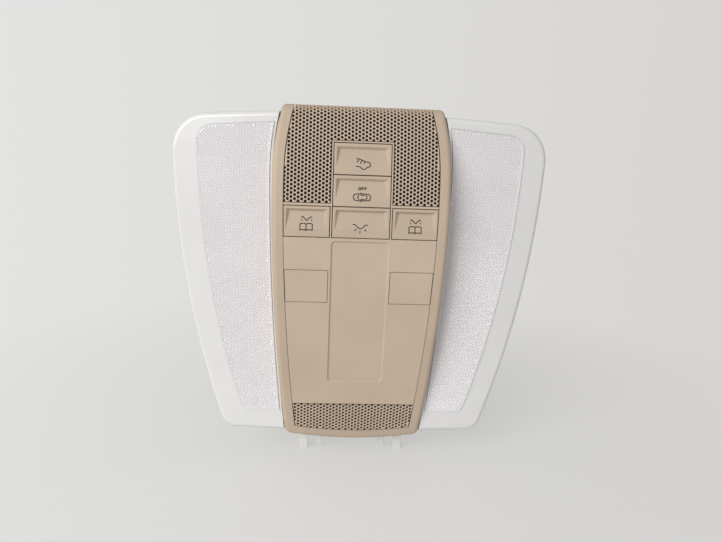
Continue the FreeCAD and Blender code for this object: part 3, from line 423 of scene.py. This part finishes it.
def lower_cover():
    half = plate_side(LOWER_FOOT)
    sag = math.sqrt(LOWER_BOW ** 2 - half ** 2)

    def foot(x):
        return LOWER_FOOT + sag - math.sqrt(LOWER_BOW ** 2 - x ** 2)

    def outline(inset):
        bottom = [(x, along_face(foot(x) + inset)) for x in stepped(inset - half, half - inset, BOW_STEPS)]
        heights = stepped(LOWER_FOOT + inset, LOWER_TOP - inset, END_STEPS)[1:]
        right = [(plate_side(z) - inset, along_face(z)) for z in heights]
        left = [(-x, s) for x, s in reversed(right)]
        return bottom + right + left

    cover("lower_cover", "lower_grille", outline)


upper_cover()
lower_cover()


# Lenses with a diamond relief. The outline starts beside the console and ends short of the frame's sides.
# Near a corner its side counts as straight over the length of the turn. The rim drops to the relief.

FRAME_RISE = 12.1
DOME = 950.0
DOME_CENTRE = DOME - FRAME_RISE
LENS_PROUD = 0.6
LENS_START = 9.5
LENS_REACH = 598.6
LENS_THICK = 2.2
LENS_LOW = -93.7
LENS_HIGH = 97.3
LENS_CROWN = 101.3
LENS_LOWER_CORNER = 6.0
LENS_UPPER_CORNER = 10.0
FRAME_HALF_WIDTH = 121.8
FRAME_SIDE = 615.0
FRAME_WIDEST = 90.0
LOWER_TURN = 12.0
UPPER_TURN = 14.0
SIDE_START = 10.0
SIDE_STEPS = 40
RAIL_STEPS = 60
RIM_WIDTH = 0.7
RIM_STEP = 0.15
RIM_DROP = 0.2
CELL = 1.0
CELL_ROOM = 0.45
RELIEF = 0.48


def frame_side(z):
    """How far across a lens reaches at a height."""
    return FRAME_HALF_WIDTH - FRAME_SIDE + math.sqrt(LENS_REACH ** 2 - (z - FRAME_WIDEST) ** 2)


def rail_side(z):
    """How far across a lens starts at a height, beside the console."""
    return side_at(z, LENS_START)


def turn_corner(before, corner, after, radius, steps=8):
    """Points of an arc that rounds a corner between two straight runs."""
    before, corner, after = Vector(before), Vector(corner), Vector(after)
    way_in = (before - corner).normalized()
    way_out = (after - corner).normalized()
    half = way_in.angle(way_out) / 2
    centre = corner + (way_in + way_out).normalized() * (radius / math.sin(half))
    start = corner + way_in * (radius / math.tan(half)) - centre
    stop = corner + way_out * (radius / math.tan(half)) - centre
    sweep = start.angle_signed(stop)
    return [centre + Matrix.Rotation(-sweep * step / steps, 2) @ start for step in range(steps + 1)]


def lens_outline():
    """The right-hand lens, counter-clockwise from its lower inner corner."""
    low_corner = (frame_side(LENS_LOW), LENS_LOW)
    high_corner = (frame_side(LENS_HIGH), LENS_HIGH)
    inner_foot = (rail_side(LENS_LOW), LENS_LOW)
    inner_head = (rail_side(LENS_CROWN), LENS_CROWN)
    above_foot = LENS_LOW + LOWER_TURN
    below_head = LENS_HIGH - UPPER_TURN
    side_heights = stepped(LENS_LOW + SIDE_START, below_head, SIDE_STEPS)
    rail_heights = stepped(LENS_LOW, LENS_CROWN, RAIL_STEPS)[1:]
    outline = [inner_foot]
    outline += turn_corner(inner_foot, low_corner, (frame_side(above_foot), above_foot), LENS_LOWER_CORNER)
    outline += [(frame_side(z), z) for z in side_heights]
    outline += turn_corner((frame_side(below_head), below_head), high_corner, inner_head, LENS_UPPER_CORNER)
    outline += [(rail_side(z), z) for z in reversed(rail_heights)]
    return outline


def moved_in(outline, distance):
    """A closed counter-clockwise outline, moved inward."""
    found = []
    for before, here, after in zip(outline[-1:] + outline[:-1], outline, outline[1:] + outline[:1]):
        way_out = (after - here).normalized()
        along = ((here - before).normalized() + way_out).normalized()
        found.append(here + Vector((-along.y, along.x)) * (distance / along.dot(way_out)))
    return found


def prism_grid(border):
    """The columns and rows of the grid points that lie within a border, with some room."""
    columns = [int(point.x / CELL) for point in border]
    rows = [int(point.y / CELL) for point in border]
    found = []
    for row in range(min(rows) - 1, max(rows) + 2):
        for column in range(min(columns), max(columns) + 2):
            point = Vector((column * CELL, row * CELL))
            near = [point + Vector(step) * CELL_ROOM for step in ((1, 0), (-1, 0), (0, 1), (0, -1))]
            if all(inside(place, border) for place in near):
                found.append((column, row))
    return found


def lens(name, side):
    """One cover: a flat rim round a grid of points, every second one raised, cut along the valleys."""
    outline = divided(lens_outline(), True, 2 * CELL)
    border = moved_in(outline, RIM_WIDTH + RIM_STEP)
    flat = outline + moved_in(outline, RIM_WIDTH) + border
    around = len(outline)
    sunk = [0.0] * (2 * around) + [RIM_DROP] * around
    edges = [edge for first in (0, around, 2 * around) for edge in ring_edges(first, around)]
    grid = {}
    for column, row in prism_grid(border):
        grid[(column, row)] = len(flat)
        flat.append(Vector((column * CELL, row * CELL)))
        sunk.append(0.0 if (column + row) % 2 else RELIEF)
    for (column, row), number in grid.items():
        if (column + row) % 2 == 0:
            others = [grid.get((column + 1, row + step)) for step in (1, -1)]
            edges += [(number, other) for other in others if other is not None]
    flat, faces, origin = triangles(flat, edges)
    depth = [sunk[where[0]] for where in origin]

    def place(point, under):
        reach = math.sqrt((DOME + LENS_PROUD - under) ** 2 - point.x ** 2)
        return Vector((side * point.x, DOME_CENTRE - reach, point.y))

    points = [place(point, under) for point, under in zip(flat, depth)]
    points += [place(point, LENS_THICK) for point in flat]
    solid, _ = closed_sheet(faces, len(flat))
    if side < 0:
        solid = [tuple(reversed(face)) for face in solid]
    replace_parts(piece(name + "_prisms", points, solid, prism, "lamp_unit"), name)


lens("right_lens", 1)
lens("left_lens", -1)


# Pictograms on the buttons

INK = 0.6
INK_PROUD = 0.07
INK_ROOT = 0.12
MITRE_LIMIT = 0.6


def key_row(number):
    """The height of a key's middle, with the rows counted up from nought."""
    return KEY_FOOT + KEY_HEIGHT / 2 + number * KEY_PITCH


def key_place(middle, x, z, proud):
    """A place on a button's face or scoop floor, from across and up on the button."""
    lean = math.asin((middle[1] - CREST) / UPPER_FACE)
    scoop = SCOOP_DEPTH * (z - SCOOP_FOOT) / SCOOP_RUN
    sunk = max(scoop, z * z / (2 * UPPER_FACE)) - proud
    start = face_place(middle[0], UPPER_FACE * lean)
    up = Vector((0, math.sin(lean), math.cos(lean)))
    inward = Vector((0, math.cos(lean), -math.sin(lean)))
    return start + Vector((x, 0, 0)) + up * z + inward * sunk


def smoothed(line, steps=5):
    """A smooth line through a few points."""
    ends = [line[0]] + list(line) + [line[-1]]
    found = []
    for before, start, stop, after in zip(ends, ends[1:], ends[2:], ends[3:]):
        for step in range(steps):
            t = step / steps
            found.append((Vector(before) * (-t + 2 * t ** 2 - t ** 3)
                          + Vector(start) * (2 - 5 * t ** 2 + 3 * t ** 3)
                          + Vector(stop) * (t + 4 * t ** 2 - 3 * t ** 3)
                          + Vector(after) * (t ** 3 - t ** 2)) / 2)
    return found + [Vector(line[-1])]


def stroke(line, middle, closed):
    """A thin solid ribbon along a line on a button."""
    section = ((1, INK_PROUD), (-1, INK_PROUD), (-1, -INK_ROOT), (1, -INK_ROOT))
    sides = len(section)
    line = divided(line, closed, INK)
    count = len(line)
    points = []
    for index, here in enumerate(line):
        before = line[index - 1] if closed or index else here
        after = line[(index + 1) % count] if closed or index < count - 1 else here
        way_in = (here - before).normalized()
        way_out = (after - here).normalized()
        along = (way_in + way_out).normalized()
        across = Vector((-along.y, along.x)) * INK / 2
        bend = max(MITRE_LIMIT, along.dot(way_out if way_out.length else way_in))
        for edge, proud in section:
            spot = here + across * (edge / bend)
            points.append(key_place(middle, spot.x, spot.y, proud))
    faces = []
    for index in range(count if closed else count - 1):
        first = sides * index
        second = sides * ((index + 1) % count)
        for corner in range(sides):
            following = (corner + 1) % sides
            faces.append((first + corner, second + corner, second + following, first + following))
    if not closed:
        faces.append(tuple(range(sides)))
        faces.append(tuple(reversed(range(len(points) - sides, len(points)))))
    return points, faces


def pictogram(key, middle, strokes):
    """All the strokes of one button as one piece. A stroke has a kind, line, curve or loop, and points."""
    points, faces = [], []
    for kind, line in strokes:
        drawn = smoothed(line) if kind == "curve" else line
        more, around = stroke(drawn, middle, kind == "loop")
        faces += [tuple(corner + len(points) for corner in face) for face in around]
        points += more
    piece(key + "_pictogram", points, faces, print_brown, key + "_key")


def ring(x, z, wide, high, steps=14):
    turns = [2 * math.pi * step / steps for step in range(steps)]
    return [(x + wide * math.cos(turn), z + high * math.sin(turn)) for turn in turns]


LETTER_FOOT = 0.9
LETTER_HEAD = 2.5
LETTER_BAR = 1.75


def letter_f(x):
    """A stem with its head, and the shorter bar below."""
    stem = [(x, LETTER_FOOT), (x, LETTER_HEAD), (x + 1.1, LETTER_HEAD)]
    bar = [(x, LETTER_BAR), (x + 0.9, LETTER_BAR)]
    return [("line", stem), ("line", bar)]


reading_marks = [
    ("curve", [(-3.1, 2.3), (-2.3, 2.9), (-1.1, 1.9), (0.2, 0.6), (1.6, 2.0), (2.8, 2.8), (3.6, 2.2)]),
    ("line", [(-2.6, 1.2), (-3.3, 0.5)]),
    ("line", [(2.9, 1.2), (3.6, 0.5)]),
    ("line", [(-0.1, -1.9), (-0.1, -5.6)]),
    ("loop", [(-3.9, -1.7), (-3.0, -1.3), (-0.9, -1.3), (-0.1, -1.8), (0.8, -1.3), (2.8, -1.3), (3.8, -1.7),
              (3.8, -5.5), (2.8, -5.2), (0.8, -5.2), (-0.1, -5.7), (-0.9, -5.2), (-3.0, -5.2), (-3.9, -5.5)]),
]
courtesy_marks = [
    ("curve", [(-5.1, -1.3), (-3.8, -1.0), (-2.4, -2.5), (-0.4, -3.6),
               (1.6, -2.5), (2.8, -1.2), (4.4, -1.5)]),
    ("line", [(-2.9, -3.8), (-4.2, -5.0)]),
    ("line", [(-0.5, -5.0), (-0.6, -6.6)]),
    ("line", [(2.3, -3.9), (3.4, -5.1)]),
]
motion_marks = [
    ("loop", ring(-1.55, 1.7, 0.72, 0.8)),
    *letter_f(-0.05),
    *letter_f(1.75),
    ("loop", [(-4.9, -1.9), (-2.6, -1.5), (2.6, -1.5), (4.9, -1.9), (5.4, -3.65), (4.9, -5.4), (2.6, -5.8),
              (-2.6, -5.8), (-4.9, -5.4), (-5.4, -3.65)]),
    ("curve", [(-1.7, -2.1), (-2.7, -3.65), (-1.7, -5.2)]),
    ("curve", [(2.4, -2.1), (3.2, -3.65), (2.4, -5.2)]),
    ("line", [(-0.9, -2.3), (1.7, -2.3)]),
    ("line", [(-0.9, -5.0), (1.7, -5.0)]),
    ("line", [(-1.1, -1.5), (-0.6, -0.8)]),
    ("line", [(-1.1, -5.8), (-0.6, -6.5)]),
]
tow_marks = [
    ("curve", [(-4.2, -4.6), (-2.8, -4.5), (-1.6, -4.9), (-0.7, -5.8), (0.6, -6.3), (1.9, -5.9), (2.8, -5.0),
               (4.2, -4.6), (4.7, -3.3), (4.3, -1.9), (3.0, -1.7), (1.0, -1.0), (-1.6, 0.1), (-3.0, 0.5),
               (-4.2, 0.3)]),
    ("line", [(-3.8, -1.9), (-2.4, -0.1)]),
    ("curve", [(-1.3, -2.9), (-1.2, -1.7), (-0.3, -0.6)]),
    ("line", [(0.8, -2.6), (1.2, -1.2)]),
]
pictogram("tow_alarm", (0, key_row(2)), tow_marks)
pictogram("motion_alarm", (0, key_row(1)), motion_marks)
pictogram("courtesy_light", (0, key_row(0)), courtesy_marks)
pictogram("left_reading", (-READING_SIDE, key_row(0)), reading_marks)
pictogram("right_reading", (READING_SIDE, key_row(0)), reading_marks)


# Camera, as it was solved from outline points in the photo

CAMERA_PLACE = (-0.022498, -0.430474, 0.104871)
CAMERA_TURN = (76.844, -2.235, -2.8245)

eye = bpy.data.cameras.new("camera")
eye.lens = 32.41
eye.sensor_width = 36.0
camera = bpy.data.objects.new("camera", eye)
camera.location = CAMERA_PLACE
camera.rotation_euler = Euler(tuple(math.radians(turn) for turn in CAMERA_TURN))
scene.collection.objects.link(camera)
scene.camera = camera


# Floor under the hooks, fading into the backdrop with its distance

FLOOR = -0.1305
FLOOR_REACH = 3.0

floor_mesh = bpy.data.meshes.new("floor")
floor_corners = [(x * FLOOR_REACH, y * FLOOR_REACH, FLOOR) for x, y in ((-1, -1), (1, -1), (1, 1), (-1, 1))]
floor_mesh.from_pydata(floor_corners, [], [(0, 1, 2, 3)])
floor = bpy.data.objects.new("floor", floor_mesh)
scene.collection.objects.link(floor)
ground = Shader("floor_white")
ground.set(Base_Color=(0.86, 0.86, 0.855, 1), Roughness=0.6)
far = ground.nodes.new("ShaderNodeVectorMath")
far.operation = "LENGTH"
ground.join(ground.place, far.inputs[0])
fade = ground.spread(far.outputs["Value"], low=0.55, high=1.0, start=0.16, stop=0.48)
clear = ground.nodes.new("ShaderNodeBsdfTransparent")
mixed = ground.nodes.new("ShaderNodeMixShader")
ground.join(fade, mixed.inputs[0])
ground.join(ground.surface.outputs[0], mixed.inputs[1])
ground.join(clear.outputs[0], mixed.inputs[2])
ground.join(mixed.outputs[0], ground.nodes["Material Output"].inputs["Surface"])
floor_mesh.materials.append(ground.material)


# World and light

BACKDROP_SPREAD = 0.5
FILL_STRENGTH = 0.475

world = bpy.data.worlds.new("studio")
world.use_nodes = True
scene.world = world
sky = world.node_tree.nodes
join = world.node_tree.links.new
fill = sky["Background"]
fill.inputs["Color"].default_value = (1.0, 0.995, 0.985, 1)
fill.inputs["Strength"].default_value = FILL_STRENGTH

# The backdrop, also as seen through the lenses, is painted a little paler on the left than on the right:
# painted light, falling off away from the lamp on the left.
seen = sky.new("ShaderNodeBackground")
seen.inputs["Strength"].default_value = 1.0
across = sky.new("ShaderNodeSeparateXYZ")
join(sky.new("ShaderNodeTexCoord").outputs["Generated"], across.inputs[0])
slope = sky.new("ShaderNodeMapRange")
slope.inputs["From Min"].default_value = -BACKDROP_SPREAD
slope.inputs["From Max"].default_value = BACKDROP_SPREAD
join(across.outputs["X"], slope.inputs["Value"])
painted_falloff = sky.new("ShaderNodeValToRGB")
painted_falloff.color_ramp.elements[0].color = (0.775, 0.775, 0.765, 1)
painted_falloff.color_ramp.elements[1].color = (0.68, 0.668, 0.645, 1)
join(slope.outputs["Result"], painted_falloff.inputs["Fac"])
join(painted_falloff.outputs["Color"], seen.inputs["Color"])

path = sky.new("ShaderNodeLightPath")
either = sky.new("ShaderNodeMath")
either.operation = "MAXIMUM"
join(path.outputs["Is Camera Ray"], either.inputs[0])
join(path.outputs["Is Transmission Ray"], either.inputs[1])
choice = sky.new("ShaderNodeMixShader")
join(either.outputs[0], choice.inputs[0])
join(fill.outputs[0], choice.inputs[1])
join(seen.outputs[0], choice.inputs[2])
join(choice.outputs[0], sky["World Output"].inputs["Surface"])


def soft_light(name, place, aim, size, power, colour):
    lamp = bpy.data.lights.new(name, "AREA")
    lamp.shape = "RECTANGLE"
    lamp.size, lamp.size_y = size
    lamp.energy = power
    lamp.color = colour
    made = bpy.data.objects.new(name, lamp)
    made.location = place
    made.rotation_euler = (Vector(aim) - Vector(place)).to_track_quat("-Z", "Y").to_euler()
    scene.collection.objects.link(made)


soft_light("window", place=(-1.4, -1.65, 0.8), aim=(0, 0, 0), size=(1.8, 1.5), power=43.0,
           colour=(1.0, 0.99, 0.97))
